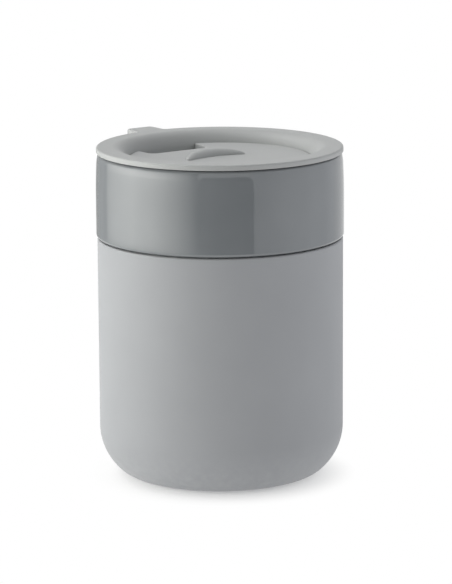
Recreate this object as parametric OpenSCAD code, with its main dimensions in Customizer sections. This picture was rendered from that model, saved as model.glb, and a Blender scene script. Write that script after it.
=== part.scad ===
// Ceramic tumbler in a silicone sleeve, with a press-in lid whose disc turns to open and close it.
// Millimetres. The cup stands on z = 0 on its own axis, and the lid's pull tab points along +Y.

/* [Ceramic cup] */
// Outer diameter of the glazed band
band_d = 86; // [78:0.5:95]
// Height of the lip above the base
lip_z = 112.9; // [104:0.1:130]
// Thickness at the lip, from the band's side to the mouth
lip_t = 5.6; // [5:0.1:7]
// How far the band draws in from its widest part up to the lip
lip_draft = 0.35; // [0:0.05:0.6]
// Height over which the band draws in
lip_draft_h = 15; // [6:0.5:22]
// How far the lip leans in at its top
lip_lean = 0.45; // [0.2:0.05:0.7]
// Height over which the lip leans in
lip_lean_h = 2.4; // [1.6:0.1:3.4]
// Rounding of the lip on the outside
lip_outer_r = 1.2; // [0.8:0.1:1.5]
// Rounding of the lip on the inside
lip_inner_r = 1.8; // [1:0.1:2]
// Rounding of the band's lower edge
band_edge_r = 1; // [0.4:0.1:1.3]
// Wall of the vessel below the band
wall_t = 4.6; // [3.6:0.1:5.5]
// Thickness of the vessel's floor
floor_t = 5.5; // [4:0.1:8]
// Length of the straight mouth that the lid's plug enters
mouth_depth = 20; // [16:0.5:26]
// Length of the slope from the mouth down to the narrower bore
mouth_blend = 6; // [3:0.5:12]
// Width of the ring that the vessel stands on
foot_ring_w = 6; // [3:0.5:10]
// Depth of the hollow inside that ring
foot_ring_h = 1; // [0.4:0.1:1.6]

/* [Silicone sleeve] */
// Height of the sleeve's top edge above the base
sleeve_top = 83.3; // [60:0.1:88]
// How far the sleeve's side lies inside the band's side
sleeve_step = 0.33; // [0.1:0.01:1]
// Wall of the sleeve
sleeve_t = 1.8; // [1.2:0.1:2.6]
// Floor of the sleeve
sleeve_floor = 2.4; // [1.8:0.1:4]
// Radius of the foot's upper, larger arc
foot_side_r = 19.5; // [16:0.1:24]
// Radius of the foot's lower, smaller arc
foot_toe_r = 8.5; // [8:0.1:12]
// Turn of the larger arc before the smaller one takes over
foot_side_a = 48; // [30:1:60]
// Rounding of the sleeve's top edge
sleeve_edge_r = 0.6; // [0.2:0.1:1]
// Play between the sleeve and the vessel
sleeve_fit = 0.05; // [0.02:0.01:0.1]
// Open seam between the sleeve's top edge and the band
seam = 0.5; // [0.3:0.05:1]

/* [Lid] */
// How far the lid's rim lies inside the band's side
lid_inset = 0.2; // [0.1:0.02:1]
// Thickness of the rim and of the pull tab
rim_t = 1.85; // [1.5:0.05:2.6]
// Shadow gap between the rim and the lip
lip_gap = 0.35; // [0.25:0.05:0.8]
// Flat part of the rim outside its rolled inner edge
rim_flat = 5.6; // [4:0.1:6.2]
// Rounding of the rim's upper outer edge
rim_edge_r = 0.7; // [0.3:0.05:0.9]
// Rounding of the rim's lower outer edge
rim_lower_r = 0.25; // [0.1:0.05:0.5]
// Depth of the recess below the top of the rim
recess_depth = 7.6; // [6.8:0.1:9]
// Thickness of the recess floor
lid_floor_t = 2; // [1.6:0.1:2.5]
// Length of the plug below the rim
plug_len = 12; // [10.5:0.5:15]
// Play between the plug and the mouth
plug_clear = 0.9; // [0.7:0.05:1.2]
// Height of the land under the rim that centres the lid in the mouth
land_h = 3; // [2:0.1:3.6]
// Play between that land and the mouth
land_clear = 0.35; // [0.3:0.01:0.5]
// Wall of the plug beside the recess
plug_wall = 4.7; // [3.6:0.1:5.5]
// Wall of the skirt below the recess floor
skirt_t = 3.2; // [2.6:0.1:4]
// Bevel that leads the skirt into the mouth
skirt_bevel = 0.8; // [0.3:0.1:1.2]

/* [Pull tab] */
// Width of the tab
tab_w = 11.2; // [8:0.1:16]
// Reach of the tab beyond the rim
tab_len = 8.2; // [5:0.1:14]
// Rounding of the tab's outer corners
tab_corner_r = 2.2; // [1:0.1:3.5]
// Rounding where the tab leaves the rim
tab_root_r = 1.2; // [0.9:0.1:4]

/* [Gasket] */
// Depth of the gasket's groove in the plug
groove_depth = 1.7; // [1.2:0.1:2]
// Height of the gasket's groove
groove_h = 5; // [4:0.1:6]
// Height of the groove above the plug's lower end
groove_up = 1.6; // [1.4:0.1:2.4]
// Play between the gasket and its groove
gasket_fit = 0.05; // [0.02:0.01:0.1]
// Gap left between the gasket's lips and the mouth
seal_gap = 0.3; // [0.2:0.05:0.4]
// Thickness of a gasket lip at its root
gasket_lip_t = 1.1; // [0.8:0.1:1.4]

/* [Closure disc] */
// Depth of the disc's top below the top of the rim
disc_drop = 4; // [3.4:0.05:4.3]
// Gap between the disc and the lid round its edge and under it
disc_clear = 0.3; // [0.2:0.05:0.5]
// Skin left over the pivot
disc_skin = 0.9; // [0.7:0.1:1.2]
// Diameter of the pivot post
post_d = 9; // [7:0.1:11]
// Radial play of the disc on its post
pivot_clear = 0.08; // [0.04:0.01:0.1]
// Height of the snap bead round the post
bead = 0.3; // [0.2:0.05:0.4]
// Turn from open to closed
turn_a = 90; // [75:1:100]
// Radius of the stop's track in the recess floor
stop_r = 10.5; // [9.5:0.1:13]
// Width of the stop's track
stop_w = 3; // [2.4:0.1:4]
// Depth of the stop's track
stop_depth = 0.9; // [0.7:0.05:1.1]
// Angle that the stop lug takes up
lug_a = 16; // [10:1:24]
// Free angle left at each end of the track
lug_play_a = 2; // [2:0.5:4]

/* [Drinking window] */
// Width of the disc's window at its inner edge
window_w = 23.6; // [20:0.1:26]
// Sideways place of the window and slot from the tab's centre line
window_x = -3.4; // [-5:0.1:5]
// Flare of the window's left side, seen from the pivot
window_left_a = 0; // [0:1:14]
// Flare of the window's right side
window_right_a = 9; // [0:1:14]
// Rounding of the window's inner corners
window_corner_r = 2.5; // [1:0.1:4]
// Margin between the slot and the window's inner edge
window_margin = 3.1; // [2:0.1:5]
// Length of the sip slot
slot_len = 15; // [12:0.1:17]
// Width of the sip slot
slot_w = 6; // [5:0.1:7]
// Land between the sip slot and the recess wall
slot_land = 3.2; // [2.8:0.1:4.5]
// Diameter of the air hole
vent_d = 2; // [1.5:0.1:2.4]
// Distance of the air hole from the slot's end
vent_land = 2.2; // [1.8:0.1:3]

/* [Grip] */
// Length of the arched grip
grip_len = 23.5; // [16:0.1:26]
// Width of the grip at its middle
grip_w = 6; // [4:0.1:9]
// Height of the grip at its middle
grip_h = 2.3; // [1.4:0.1:2.8]
// Radius of the grip's bow in plan
grip_bow_r = 16; // [14:0.5:40]
// Sideways place of the grip from the tab's centre line
grip_x = -1.3; // [-3:0.1:3]
// Distance of the grip's middle from the pivot
grip_y = 4.9; // [2:0.1:8]

/* [Hidden] */
$fn = 96;

glaze_colour = [0.40, 0.42, 0.43];
silicone_colour = [0.60, 0.61, 0.62];
lid_colour = [0.66, 0.67, 0.67];
// Overrun of a cutting shape past the face that it cuts
over = 0.2;

// Cup and sleeve
band_r = band_d / 2;
band_z = sleeve_top + seam;
mouth_r = band_r - lip_t;
lip_r = band_r - lip_draft - lip_lean;
mouth_z = lip_z - mouth_depth;
sleeve_r = band_r - sleeve_step;
vessel_in = sleeve_t + sleeve_fit;
bore_in = vessel_in + wall_t;
vessel_z = sleeve_floor + sleeve_fit;
bore_z = vessel_z + floor_t;
toe_turn = foot_side_r - foot_toe_r;
side_centre = [sleeve_r - foot_side_r, foot_toe_r + toe_turn * sin(foot_side_a)];
toe_centre = side_centre + toe_turn * [cos(foot_side_a), -sin(foot_side_a)];

// Lid
lid_r = band_r - lid_inset;
rim_z = lip_z + lip_gap;
top_z = rim_z + rim_t;
plug_r = mouth_r - plug_clear;
plug_z = rim_z - plug_len;
recess_r = plug_r - plug_wall;
recess_z = top_z - recess_depth;
roll_r = lid_r - rim_flat - recess_r;
roll_centre = [recess_r + roll_r, top_z - roll_r];
groove_z = plug_z + groove_up;

// Closure
disc_top = top_z - disc_drop;
disc_z = recess_z + disc_clear;
post_r = post_d / 2;
hub_top = disc_top - disc_skin;
post_top = hub_top - disc_clear;
bead_z = (recess_z + post_top) / 2;
slot_y = recess_r - slot_land - slot_w / 2;
window_y = slot_y - slot_w / 2 - window_margin;
// Direction of the stop lug when the lid is open, opposite the window
lug_mid_a = 270;
// Places of the gasket's lips, as shares of its height
gasket_lips = [0.25, 0.75];
grip_rings = 24;
grip_sides = 12;
// Power that sets how fast the grip's height falls off towards its tips
grip_fall = 1;
// Depth of the grip's root inside the disc
grip_sink = 0.4;
// How far the grip's foot lies below the disc's top, so that the two are one solid
grip_seat = 0.1;
// Share of the grip's half length at which its tip is cut square
grip_tip = 0.985;

// What comes off an outer corner to round it by r. side gives the corner's outward signs in x and y.
module corner_relief(corner, r, side) {
    centre = corner - r * side;
    size = r + over;
    difference() {
        translate(centre)
            translate([side.x > 0 ? 0 : -size, side.y > 0 ? 0 : -size]) square(size);
        translate(centre) circle(r);
    }
}

// What lies outside a circle between two angles, out past the body
module outside_arc(centre, r, from_a, to_a) {
    reach = band_d;
    middle_a = (from_a + to_a) / 2;
    translate(centre) difference() {
        polygon([
            [0, 0],
            reach * [cos(from_a), sin(from_a)],
            reach * [cos(middle_a), sin(middle_a)],
            reach * [cos(to_a), sin(to_a)]
        ]);
        circle(r);
    }
}

// Half section of the rounded body, inset from the sleeve's outside. Two arcs round its foot.
module body_section(inset, top) {
    side_r = foot_side_r - inset;
    toe_r = max(foot_toe_r - inset, over);
    bottom = toe_centre.y - toe_r;
    difference() {
        translate([0, bottom]) square([side_centre.x + side_r, top - bottom]);
        outside_arc(side_centre, side_r, -90, 0);
        outside_arc(toe_centre, toe_r, -90, -foot_side_a);
    }
}

// What comes off the lip's outer edge, between its top and its leaning side, to round it
module lip_relief() {
    lean_a = atan(lip_lean / lip_lean_h);
    centre = [lip_r - lip_outer_r * tan((90 - lean_a) / 2), lip_z - lip_outer_r];
    difference() {
        polygon([
            [centre.x, lip_z + over],
            [lip_r + over, lip_z + over],
            centre + 2 * lip_outer_r * [cos(lean_a), sin(lean_a)],
            centre
        ]);
        translate(centre) circle(lip_outer_r);
    }
}

module vessel_outside() {
    difference() {
        body_section(vessel_in, band_z + over);
        square([band_r, vessel_z]);
    }
    difference() {
        polygon([
            [0, band_z],
            [band_r, band_z],
            [band_r, lip_z - lip_draft_h],
            [band_r - lip_draft, lip_z - lip_lean_h],
            [lip_r, lip_z],
            [0, lip_z]
        ]);
        corner_relief([band_r, band_z], band_edge_r, [1, -1]);
        lip_relief();
    }
}

module vessel_inside() {
    bore_r = sleeve_r - bore_in;
    difference() {
        body_section(bore_in, mouth_z);
        square([band_r, bore_z]);
    }
    polygon([
        [0, mouth_z - mouth_blend],
        [bore_r, mouth_z - mouth_blend],
        [mouth_r, mouth_z],
        [mouth_r, lip_z + over],
        [0, lip_z + over]
    ]);
    // Rounded edge at the top of the mouth
    translate([mouth_r - over, lip_z - lip_inner_r]) difference() {
        square([lip_inner_r + over, lip_inner_r + over]);
        translate([lip_inner_r + over, 0]) circle(lip_inner_r);
    }
}

// The hollow under the vessel, inside the ring that it stands on
module foot_hollow() {
    square([toe_centre.x - foot_ring_w, vessel_z + foot_ring_h]);
}

module ceramic_cup() {
    color(glaze_colour) rotate_extrude() difference() {
        vessel_outside();
        vessel_inside();
        foot_hollow();
    }
}

module silicone_sleeve() {
    color(silicone_colour) rotate_extrude() difference() {
        body_section(0, sleeve_top);
        difference() {
            body_section(sleeve_t, sleeve_top + over);
            square([band_r, sleeve_floor]);
        }
        corner_relief([sleeve_r, sleeve_top], sleeve_edge_r, [1, 1]);
    }
}

// The shoulder that rolls from the rim down into the recess, grown by a gap for the disc's edge
module rolled_shoulder(gap) {
    translate(roll_centre) circle(roll_r + gap);
    translate([recess_r - gap, plug_z]) square([roll_r + gap, roll_centre.y - plug_z]);
}

// The recess in half section
module recess_section() {
    difference() {
        translate([0, recess_z]) square([roll_centre.x, recess_depth + over]);
        rolled_shoulder(0);
    }
}

module lid_section() {
    difference() {
        union() {
            translate([0, rim_z]) square([lid_r, rim_t]);
            translate([0, plug_z]) square([plug_r, plug_len + over]);
            translate([0, rim_z - land_h]) square([mouth_r - land_clear, land_h + over]);
        }
        recess_section();
        // Hollow of the skirt under the floor
        translate([0, plug_z - over]) square([plug_r - skirt_t, recess_z - lid_floor_t - plug_z + over]);
        translate([plug_r - groove_depth, groove_z]) square([groove_depth + over, groove_h]);
        corner_relief([lid_r, top_z], rim_edge_r, [1, 1]);
        corner_relief([lid_r, rim_z], rim_lower_r, [1, -1]);
        polygon([
            [plug_r - skirt_bevel, plug_z],
            [plug_r + over, plug_z - over],
            [plug_r, plug_z + skirt_bevel]
        ]);
    }
}

// The pivot post with its snap bead, grown by the play of the hub that snaps over it
module post_section(play, height) {
    translate([0, -over]) square([post_r + play, height + over]);
    translate([post_r + play, bead_z - recess_z])
        polygon([[-over, -bead - over], [0, -bead], [bead, 0], [0, bead], [-over, bead + over]]);
}

// The pull tab in plan, with its root rounded into the rim
module tab_plan() {
    half_w = tab_w / 2;
    end_y = lid_r + tab_len;
    root_reach = lid_r + tab_root_r - rim_edge_r;
    root_y = sqrt(pow(root_reach, 2) - pow(half_w + tab_root_r, 2));
    start_y = lid_r - rim_flat;
    difference() {
        translate([-half_w, start_y]) square([tab_w, end_y - start_y]);
        corner_relief([half_w, end_y], tab_corner_r, [1, 1]);
        corner_relief([-half_w, end_y], tab_corner_r, [-1, 1]);
    }
    for (side = [-1, 1]) {
        root = [side * (half_w + tab_root_r), root_y];
        difference() {
            polygon([
                [side * (half_w - over), start_y],
                [side * (half_w - over), root_y],
                root,
                root * start_y / root_reach
            ]);
            translate(root) circle(tab_root_r);
        }
    }
}

module slot_plan() {
    end_x = (slot_len - slot_w) / 2;
    translate([window_x, slot_y]) {
        square([2 * end_x, slot_w], center = true);
        for (side = [-1, 1]) translate([side * end_x, 0]) circle(slot_w / 2);
    }
    translate([window_x + slot_len / 2 + vent_land, slot_y]) circle(vent_d / 2);
}

// A strip of the stop's track or lug, curved round the pivot
module stop_strip(from_a, to_a, w, z, h) {
    rotate([0, 0, from_a]) rotate_extrude(angle = to_a - from_a)
        translate([stop_r - w / 2, z]) square([w, h]);
}

module lid_body() {
    track_from = lug_mid_a - lug_a / 2 - turn_a - lug_play_a;
    track_to = lug_mid_a + lug_a / 2 + lug_play_a;
    color(lid_colour) {
        difference() {
            rotate_extrude() lid_section();
            translate([0, 0, plug_z]) linear_extrude(recess_z - plug_z + over) slot_plan();
            stop_strip(track_from, track_to, stop_w, recess_z - stop_depth, stop_depth + over);
        }
        translate([0, 0, recess_z]) rotate_extrude() post_section(0, post_top - recess_z);
        translate([0, 0, rim_z]) linear_extrude(rim_t) tab_plan();
    }
}

module lid_gasket() {
    back_r = plug_r - groove_depth + gasket_fit;
    tip_r = mouth_r - seal_gap;
    ring_h = groove_h - 2 * gasket_fit;
    tip_t = gasket_lip_t / 2;
    color(silicone_colour) translate([0, 0, groove_z + gasket_fit]) rotate_extrude() {
        translate([back_r, 0]) square([plug_r - back_r, ring_h]);
        for (share = gasket_lips) translate([plug_r, share * ring_h])
            polygon([
                [-over, -gasket_lip_t / 2],
                [0, -gasket_lip_t / 2],
                [tip_r - plug_r, 0],
                [tip_r - plug_r, tip_t],
                [0, gasket_lip_t / 2],
                [-over, gasket_lip_t / 2]
            ]);
    }
}

// The window in plan: a notch with flared sides and rounded inner corners, open at the disc's edge
module window_plan() {
    depth = roll_centre.x - window_y;
    half_w = window_w / 2;
    left_x = -half_w - depth * tan(window_left_a);
    right_x = half_w + depth * tan(window_right_a);
    translate([window_x, window_y]) {
        difference() {
            polygon([[-half_w, 0], [half_w, 0], [right_x, depth], [left_x, depth]]);
            for (side = [-1, 1]) {
                flare_a = side < 0 ? window_left_a : window_right_a;
                centre = [side * (half_w - window_corner_r * tan((90 - flare_a) / 2)), window_corner_r];
                difference() {
                    polygon([
                        [centre.x, -over],
                        [side * (half_w + over), -over],
                        centre + 2 * window_corner_r * [side * cos(flare_a), -sin(flare_a)],
                        centre
                    ]);
                    translate(centre) circle(window_corner_r);
                }
            }
        }
    }
}

// The grip swells from its tips to its middle
function grip_share(i) = grip_tip * sin(180 * i / grip_rings - 90);
function grip_swell(i) = sqrt(1 - pow(grip_share(i), 2));
function grip_point(i, j) = let(
        a = grip_share(i) * asin(grip_len / 2 / grip_bow_r),
        round_a = 180 * min(max(j, 0), grip_sides) / grip_sides,
        r = grip_bow_r + grip_w / 2 * grip_swell(i) * cos(round_a),
        rise = (grip_h + grip_seat) * pow(grip_swell(i), grip_fall) * sin(round_a),
        z = (j < 0 || j > grip_sides) ? -grip_sink : rise
    ) [r * sin(a), r * cos(a) - grip_bow_r, z];

module grip() {
    ring = grip_sides + 3;
    points = [for (i = [0:grip_rings], j = [-1:grip_sides + 1]) grip_point(i, j)];
    skin = [
        for (i = [0:grip_rings - 1], j = [0:ring - 1])
            let(a = i * ring + j, b = i * ring + (j + 1) % ring)
            each [[a, b + ring, b], [a, a + ring, b + ring]]
    ];
    tips = [
        [for (j = [0:ring - 1]) j],
        [for (j = [ring - 1:-1:0]) grip_rings * ring + j]
    ];
    polyhedron(points, concat(skin, tips));
}

module closure_disc() {
    color(lid_colour) {
        difference() {
            rotate_extrude() difference() {
                translate([0, disc_z]) square([roll_centre.x, disc_top - disc_z]);
                rolled_shoulder(disc_clear);
                translate([0, recess_z]) post_section(pivot_clear, hub_top - recess_z);
            }
            translate([0, 0, disc_z - over]) linear_extrude(disc_top - disc_z + 2 * over) window_plan();
        }
        translate([grip_x, grip_y, disc_top - grip_seat]) grip();
        stop_strip(
            lug_mid_a - lug_a / 2, lug_mid_a + lug_a / 2, stop_w - 2 * disc_clear,
            recess_z - stop_depth + disc_clear, stop_depth + over
        );
    }
}

ceramic_cup();
silicone_sleeve();
lid_body();
lid_gasket();
closure_disc();
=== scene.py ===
# %% [markdown]
# # A ceramic tumbler with a silicone boot and a turning lid
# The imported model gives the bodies, the sizes and the joints of the real cup. This lesson builds the looks
# around it: five pieces, turned, extruded and bevelled by hand, each with its own finish, and then a small
# studio with a white table. Every size is in metres, in the frame of the model that is loaded here.

# %% Load the frame
import math

import bmesh
import bpy
from mathutils import Euler, Matrix, Vector


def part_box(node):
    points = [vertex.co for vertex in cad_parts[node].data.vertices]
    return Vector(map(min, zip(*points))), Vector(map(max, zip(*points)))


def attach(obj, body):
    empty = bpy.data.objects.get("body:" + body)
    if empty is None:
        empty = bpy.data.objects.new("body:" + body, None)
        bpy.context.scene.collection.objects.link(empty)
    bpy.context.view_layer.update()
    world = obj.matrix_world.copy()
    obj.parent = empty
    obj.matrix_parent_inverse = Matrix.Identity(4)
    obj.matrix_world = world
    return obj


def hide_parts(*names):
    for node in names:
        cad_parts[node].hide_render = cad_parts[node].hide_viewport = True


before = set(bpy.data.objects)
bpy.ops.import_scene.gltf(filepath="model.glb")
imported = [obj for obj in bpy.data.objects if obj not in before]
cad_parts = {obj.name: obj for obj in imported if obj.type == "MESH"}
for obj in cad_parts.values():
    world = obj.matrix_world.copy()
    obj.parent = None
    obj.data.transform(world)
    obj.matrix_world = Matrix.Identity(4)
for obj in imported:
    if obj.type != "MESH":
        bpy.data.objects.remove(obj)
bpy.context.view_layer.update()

MM = 0.001
bpy.context.scene.view_settings.view_transform = "Standard"

# %% [markdown]
# ## The camera
# The photograph was taken with a long lens from a little above the lid, with the pull tab to the left of
# the far side. A long lens far away keeps the upright sides of the cup almost parallel. An orthographic
# camera would make them quite parallel, but a real lens shows near things a little larger. The camera is
# placed first, because the studio lights are set out from the same point of view.

# %% Place the camera
VIEW_TURN = math.radians(35.0)
VIEW_TILT = math.radians(11.70)
VIEW_ROLL = math.radians(-0.354)
VIEW_DISTANCE = 1118.15 * MM
VIEW_HEIGHT = 294.86 * MM
VIEW_SIDE = 1.876 * MM
FOCAL_PIXELS = 3272.5
IMAGE_LONG_SIDE = 584
SENSOR = 36.0
QUARTER = math.radians(90)

VIEW_RIGHT = Vector((math.cos(VIEW_TURN), -math.sin(VIEW_TURN), 0))
VIEW_AWAY = Vector((math.sin(VIEW_TURN), math.cos(VIEW_TURN), 0))


def studio_place(right, away, up):
    """A place given as the camera sees it: to its right, away from it and up from the table."""
    return VIEW_RIGHT * right + VIEW_AWAY * away + Vector((0, 0, up))


bpy.ops.object.select_all(action="DESELECT")
bpy.ops.object.camera_add(location=studio_place(VIEW_SIDE, -VIEW_DISTANCE, VIEW_HEIGHT))
camera = bpy.context.object
camera.name = "photo_camera"
aim = Euler((QUARTER - VIEW_TILT, 0, -VIEW_TURN)).to_matrix()
camera.rotation_euler = (aim @ Matrix.Rotation(VIEW_ROLL, 3, "Z")).to_euler()
camera.data.sensor_width = SENSOR
camera.data.lens = FOCAL_PIXELS * SENSOR / IMAGE_LONG_SIDE
bpy.context.scene.camera = camera
print(f"camera: {camera.data.lens:.1f} mm lens at {[round(c, 3) for c in camera.location]}")

# %% [markdown]
# ## A pen and a lathe
# Cups, lids and seals are round, so most of this object is half a section turned about the upright axis.
# The section could be typed in as a list of vertices, but it is easier to follow when it is drawn: one
# vertex is pulled along by extrude for a straight line and by spin for an arc. A corner is rounded by a
# vertex bevel, and one last spin about Z turns the section into the solid piece.

# %% Drawing tools
SEEN_FROM_FRONT = Vector((0, -1, 0))
SEEN_FROM_ABOVE = Vector((0, 0, 1))
TURN_STEPS = 192
FINE_CORNER_STEPS = 8
CORNER_STEPS = 5
SMALL_CORNER_STEPS = 4
TINY_CORNER_STEPS = 3
SMOOTH_ANGLE = math.radians(30)
WELD = 0.004 * MM


def section(radius, height):
    return Vector((radius, 0, height))


def begin_outline(name, point):
    """One vertex at a point: a small plane that is merged to its middle."""
    bpy.ops.object.select_all(action="DESELECT")
    bpy.ops.mesh.primitive_plane_add(size=MM)
    piece = bpy.context.object
    piece.name = piece.data.name = name
    bpy.ops.object.mode_set(mode="EDIT")
    bpy.ops.mesh.select_mode(type="VERT")
    bpy.ops.mesh.select_all(action="SELECT")
    bpy.ops.mesh.merge(type="CENTER")
    bpy.ops.transform.translate(value=point)
    return piece


def pen():
    """Where the pen is: the one vertex that is selected."""
    drawn = bmesh.from_edit_mesh(bpy.context.edit_object.data)
    return next(v.co.copy() for v in drawn.verts if v.select)


def line_to(*points):
    for point in points:
        bpy.ops.mesh.extrude_region_move(TRANSFORM_OT_translate={"value": point - pen()})


def arc(centre, turn, steps, axis=SEEN_FROM_FRONT):
    """Swings the pen round a centre. A positive turn, in radians, is anticlockwise."""
    bpy.ops.mesh.spin(steps=steps, angle=-turn, center=centre, axis=axis)


def lift_to(point):
    """Starts a new stroke without a line to it."""
    bpy.ops.mesh.duplicate_move(TRANSFORM_OT_translate={"value": point - pen()})


def pick(test):
    """Selects what passes a test in the mesh that is being edited, in the current select mode."""
    drawn = bmesh.from_edit_mesh(bpy.context.edit_object.data)
    bpy.ops.mesh.select_all(action="DESELECT")
    mode = bpy.context.tool_settings.mesh_select_mode
    group = drawn.verts if mode[0] else drawn.edges if mode[1] else drawn.faces
    chosen = [part for part in group if test(part)]
    for part in chosen:
        part.select_set(True)
    drawn.select_flush_mode()
    bmesh.update_edit_mesh(bpy.context.edit_object.data)
    return len(chosen)


def round_corner(point, radius, steps=CORNER_STEPS):
    """Rounds one corner of the outline. Both of its lines are longer than the radius."""
    count = pick(lambda v: (v.co - point).length < WELD)
    assert count == 1, f"{count} corners at {point}"
    bpy.ops.mesh.bevel(offset=radius, segments=steps, affect="VERTICES")


def lies_at(edge, level):
    """Whether both ends of an edge are at a level."""
    return all(abs(v.co.z - level) < WELD for v in edge.verts)


def weld_and_face_out():
    bpy.ops.mesh.select_all(action="SELECT")
    bpy.ops.mesh.remove_doubles(threshold=WELD)
    bpy.ops.mesh.normals_make_consistent(inside=False)


def turn_on_lathe():
    """Spins the whole section once round the upright axis, and closes the seam and the poles."""
    bpy.ops.mesh.select_all(action="SELECT")
    bpy.ops.mesh.spin(steps=TURN_STEPS, angle=math.tau, center=(0, 0, 0), axis=SEEN_FROM_ABOVE)
    weld_and_face_out()


def select_only(*pieces):
    """Selects these objects and nothing else. The last one becomes the active one."""
    bpy.ops.object.select_all(action="DESELECT")
    for piece in pieces:
        piece.select_set(True)
        bpy.context.view_layer.objects.active = piece


def finish_piece(piece, body, node, weigh_normals=False):
    """Back to object mode, smooth shading, and the piece takes the place of its node on its body."""
    if bpy.context.mode == "EDIT_MESH":
        bpy.ops.object.mode_set(mode="OBJECT")
    select_only(piece)
    bpy.ops.object.shade_smooth_by_angle(angle=SMOOTH_ANGLE)
    if weigh_normals:
        bpy.ops.object.modifier_add(type="WEIGHTED_NORMAL")
        piece.modifiers[-1].keep_sharp = True
        bpy.ops.object.modifier_apply(modifier=piece.modifiers[-1].name)
    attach(piece, body)
    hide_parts(node)
    print(f"{piece.name}: {len(piece.data.vertices)} vertices, {len(piece.data.polygons)} faces")


# %% [markdown]
# ## Sizes that several pieces share
# The outer sizes come from the boxes of the loaded nodes, so the pieces always fit the model. The rounded
# foot is two arcs in a row: a wide one that leaves the upright side, and a tighter one that lands on the
# table. The boot and the vessel in it are drawn from the same two centres, and the drinking space from the
# upper one.

# %% Shared sizes
_, cup_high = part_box("ceramic_cup")
_, sleeve_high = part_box("silicone_sleeve")
_, lid_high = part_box("lid_body")

BAND_R = cup_high.x
LIP_Z = cup_high.z
SLEEVE_R = sleeve_high.x
SLEEVE_TOP = sleeve_high.z
LID_R = lid_high.x
LID_TOP = lid_high.z

FOOT_SIDE_R = 19.5 * MM
FOOT_TOE_R = 8.5 * MM
FOOT_SIDE_TURN = math.radians(48)
FOOT_TOE_TURN = QUARTER - FOOT_SIDE_TURN
foot_reach = FOOT_SIDE_R - FOOT_TOE_R
SIDE_CENTRE = section(SLEEVE_R - FOOT_SIDE_R, FOOT_TOE_R + foot_reach * math.sin(FOOT_SIDE_TURN))
TOE_CENTRE = SIDE_CENTRE + foot_reach * section(math.cos(FOOT_SIDE_TURN), -math.sin(FOOT_SIDE_TURN))


def turn_to_level(centre, radius, level):
    """How far below a centre, as an angle, a circle of this radius reaches a level."""
    return math.asin((centre.z - level) / radius)


print(f"band {BAND_R / MM:.2f} mm, sleeve {SLEEVE_R / MM:.2f} mm, lid {LID_R / MM:.2f} mm in radius")

# %% [markdown]
# ## The ceramic cup
# The vessel is cast in one piece and glazed all over. Only a wide band shows between the lid and the boot:
# it stands out a little from the boot, has a rounded lower edge, draws in gently towards the top and leans
# in to a thick rounded lip. A screw modifier would turn the section too. Spin is used because it leaves a
# plain mesh at once, so its seam can be welded and its normals set in the same step.

# %% Turn the ceramic cup
SLEEVE_T = 1.8 * MM
SLEEVE_FIT = 0.05 * MM
SLEEVE_FLOOR = 2.4 * MM
SEAM = 0.5 * MM
WALL_T = 4.6 * MM
LIP_T = 5.6 * MM
LIP_DRAFT = 0.35 * MM
LIP_DRAFT_H = 15 * MM
LIP_LEAN = 0.45 * MM
LIP_LEAN_H = 2.4 * MM
LIP_ROUND = 1.0 * MM
LEAN_ROUND = 1.1 * MM
LIP_INNER_R = 1.8 * MM
BAND_EDGE_R = 1.0 * MM
MOUTH_DEPTH = 20 * MM
MOUTH_BLEND = 6 * MM
FLOOR_T = 5.5 * MM
FOOT_RING_W = 6 * MM
FOOT_RING_H = 1.0 * MM
MOUTH_ROUND = 2 * MM
VESSEL_TOE_STEPS = 6
VESSEL_SIDE_STEPS = 8
DRAFT_STEPS = 6
BORE_STEPS = 10

vessel_in = SLEEVE_T + SLEEVE_FIT
vessel_z = SLEEVE_FLOOR + SLEEVE_FIT
bore_in = vessel_in + WALL_T
bore_z = vessel_z + FLOOR_T
band_z = SLEEVE_TOP + SEAM
MOUTH_R = BAND_R - LIP_T
mouth_z = LIP_Z - MOUTH_DEPTH
barrel_z = LIP_Z - LIP_DRAFT_H
barrel_h = LIP_DRAFT_H - LIP_LEAN_H
barrel_r = (barrel_h**2 + LIP_DRAFT**2) / (2 * LIP_DRAFT)
barrel_turn = math.asin(barrel_h / barrel_r)
bore_side_r = FOOT_SIDE_R - bore_in
bore_turn = turn_to_level(SIDE_CENTRE, bore_side_r, bore_z)
ring_r = TOE_CENTRE.x - FOOT_RING_W
lip_edge = section(BAND_R - LIP_DRAFT - LIP_LEAN, LIP_Z)
mouth_edge = section(MOUTH_R, LIP_Z)
mouth_foot = section(MOUTH_R, mouth_z)
bore_top = section(SLEEVE_R - bore_in, mouth_z - MOUTH_BLEND)

glazed_cup = begin_outline("glazed_cup", section(0, vessel_z + FOOT_RING_H))
line_to(section(ring_r, vessel_z + FOOT_RING_H), section(ring_r, vessel_z), section(TOE_CENTRE.x, vessel_z))
arc(TOE_CENTRE, FOOT_TOE_TURN, VESSEL_TOE_STEPS)
arc(SIDE_CENTRE, FOOT_SIDE_TURN, VESSEL_SIDE_STEPS)
line_to(section(SLEEVE_R - vessel_in, band_z), section(BAND_R, band_z), section(BAND_R, barrel_z))
arc(section(BAND_R - barrel_r, barrel_z), barrel_turn, DRAFT_STEPS)
lean_edge = pen()
line_to(lip_edge, mouth_edge, mouth_foot, bore_top, section(bore_top.x, SIDE_CENTRE.z))
arc(SIDE_CENTRE, -bore_turn, BORE_STEPS)
line_to(section(0, bore_z))

round_corner(section(BAND_R, band_z), BAND_EDGE_R)
round_corner(lean_edge, LEAN_ROUND, FINE_CORNER_STEPS)
round_corner(lip_edge, LIP_ROUND, FINE_CORNER_STEPS)
round_corner(mouth_edge, LIP_INNER_R, FINE_CORNER_STEPS)
round_corner(mouth_foot, MOUTH_ROUND)
round_corner(bore_top, MOUTH_ROUND)
turn_on_lathe()
finish_piece(glazed_cup, "cup", "ceramic_cup", weigh_normals=True)

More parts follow.
